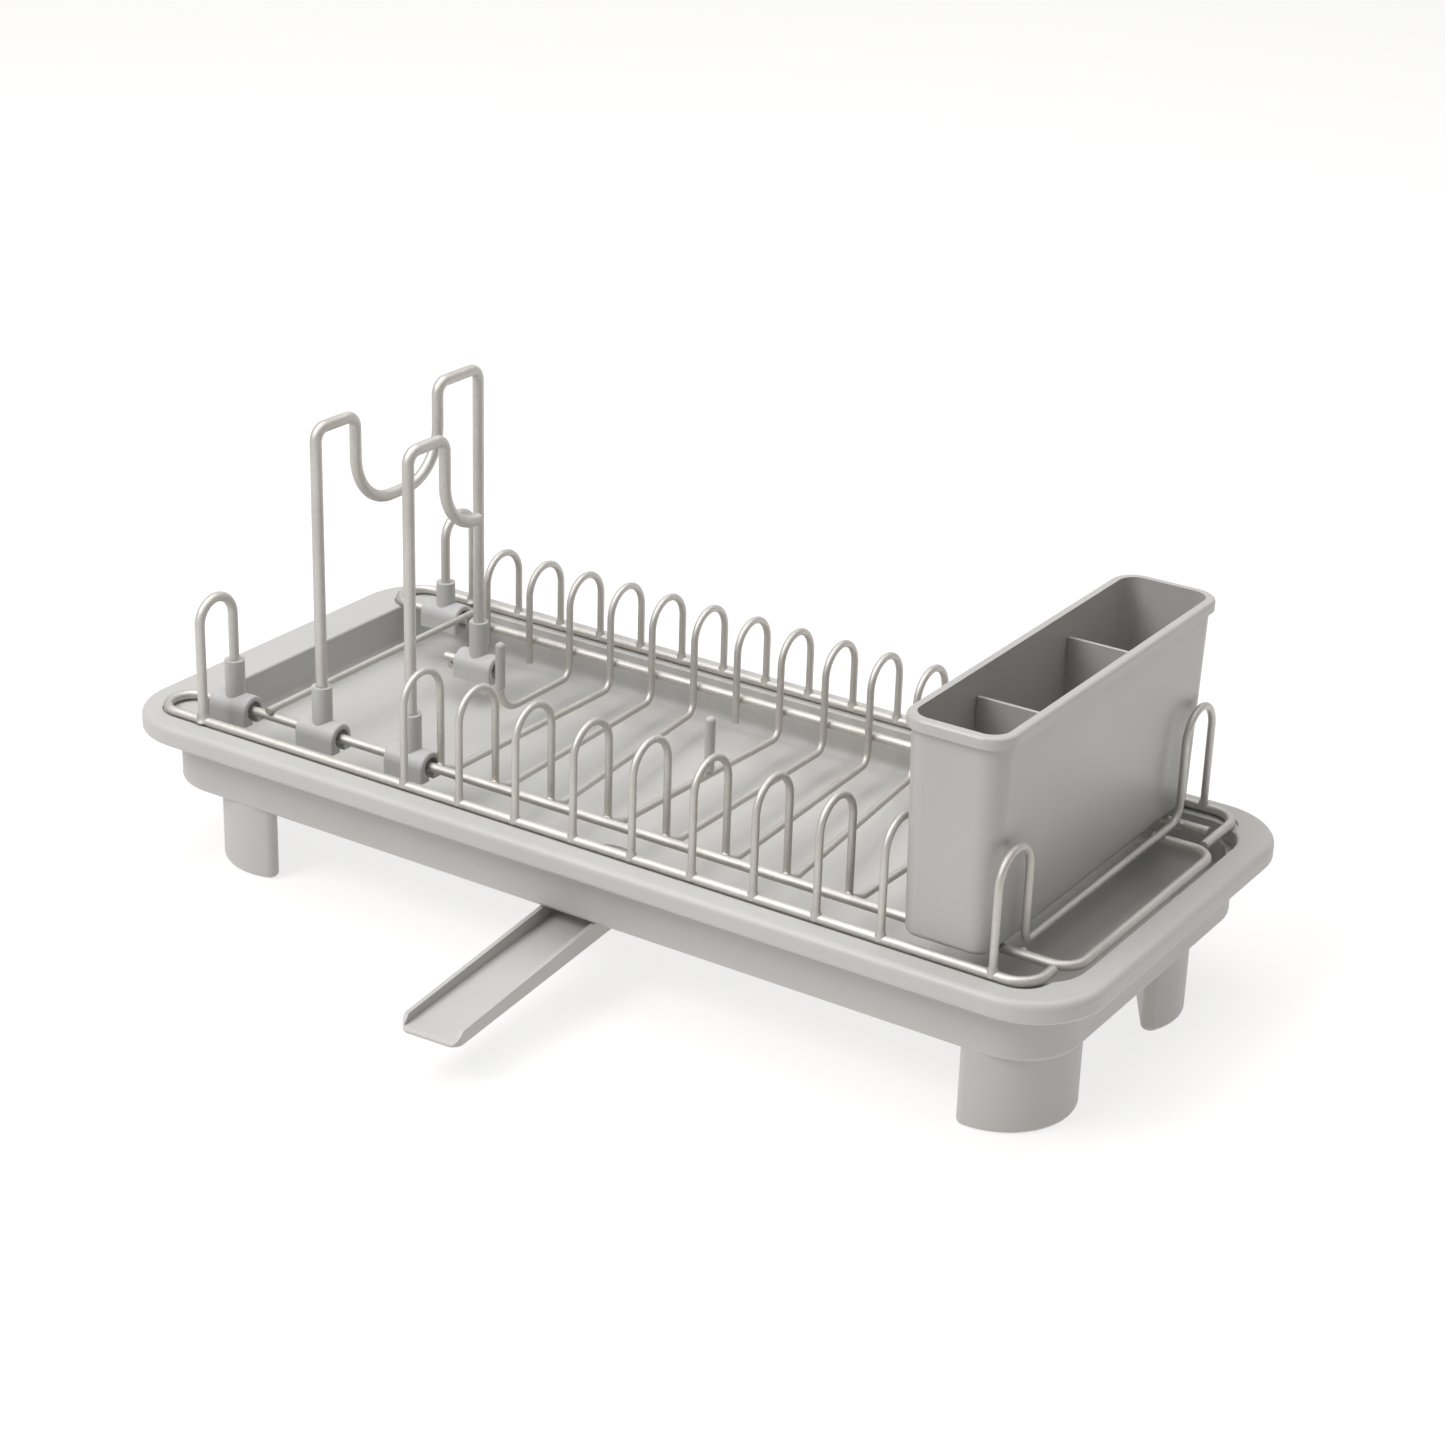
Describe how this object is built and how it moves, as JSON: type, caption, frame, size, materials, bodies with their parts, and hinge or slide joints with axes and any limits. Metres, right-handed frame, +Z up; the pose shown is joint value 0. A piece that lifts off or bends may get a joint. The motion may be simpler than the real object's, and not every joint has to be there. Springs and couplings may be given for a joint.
{
  "type": "dish drying rack",
  "caption": "Wire dish rack with plate hairpins over a plastic drip tray on feet, with a swivel drain spout, clip-on cup stand and hook, and a lift-out utensil caddy",
  "frame": {"origin": "middle of the whole outline in plan, on the plane the feet stand on", "axes": "+X along the length of the tray towards the utensil caddy, -Y towards the side the spout points to, +Z up"},
  "size_m": [0.5, 0.31, 0.222],
  "materials": {
    "tray_plastic": "fine satin moulded plastic, light warm grey",
    "satin_wire": "satin nickel-grey wire",
    "clip_plastic": "smooth matte moulded plastic",
    "caddy_plastic": "matte moulded plastic, mid grey",
    "screw_steel": "plain turned steel"
  },
  "bodies": {
    "tray": {"tray_shell": "tray_plastic", "spout_pivot_screw": "screw_steel", "foot_back_left": "tray_plastic", "foot_back_right": "tray_plastic", "foot_front_left": "tray_plastic", "foot_front_right": "tray_plastic"},
    "spout": {"drain_spout": "tray_plastic"},
    "wire_rack": {"back_frame_wire": "satin_wire", "back_hairpin_12": "satin_wire", "back_hairpin_2": "satin_wire", "back_hairpin_7": "satin_wire", "clip_rod": "satin_wire", "corner_hoop_back": "satin_wire", "corner_hoop_front": "satin_wire", "end_hoop_wire": "satin_wire", "front_frame_wire": "satin_wire", "left_cross_wire": "satin_wire", "peg_wire_left": "satin_wire", "peg_wire_middle": "satin_wire", "plate_wire_1": "satin_wire", "plate_wire_2": "satin_wire", "plate_wire_3": "satin_wire", "plate_wire_4": "satin_wire", "plate_wire_5": "satin_wire", "plate_wire_6": "satin_wire", "plate_wire_7": "satin_wire", "plate_wire_8": "satin_wire", "plate_wire_9": "satin_wire", "rod_arm_wire": "satin_wire", "clip_corner_back": "clip_plastic", "clip_corner_front": "clip_plastic", "clip_hook": "clip_plastic", "clip_stand_back": "clip_plastic", "clip_stand_front": "clip_plastic", "peg_cap_left": "clip_plastic", "peg_cap_middle": "clip_plastic"},
    "caddy": {"utensil_caddy": "caddy_plastic"},
    "cup_stand_body": {"cup_stand": "satin_wire"},
    "cup_hook_body": {"cup_hook": "satin_wire"}
  },
  "joints": [
    {"name": "spout_swivel", "type": "hinge", "parent": "tray", "child": "spout", "pos_m": [-0.0008, -0.024, 0.036], "axis": [0, 0, 1], "continuous": true},
    {"name": "rack_lift", "type": "slide", "parent": "tray", "child": "wire_rack", "axis": [0, 0, 1], "range_m": [0, 0.12]},
    {"name": "caddy_lift", "type": "slide", "parent": "wire_rack", "child": "caddy", "axis": [0, 0, 1], "range_m": [0, 0.12]},
    {"name": "cup_stand_lift", "type": "slide", "parent": "wire_rack", "child": "cup_stand_body", "axis": [0, 0, 1], "range_m": [0, 0.06]},
    {"name": "cup_hook_lift", "type": "slide", "parent": "wire_rack", "child": "cup_hook_body", "axis": [0, 0, 1], "range_m": [0, 0.06]}
  ]
}
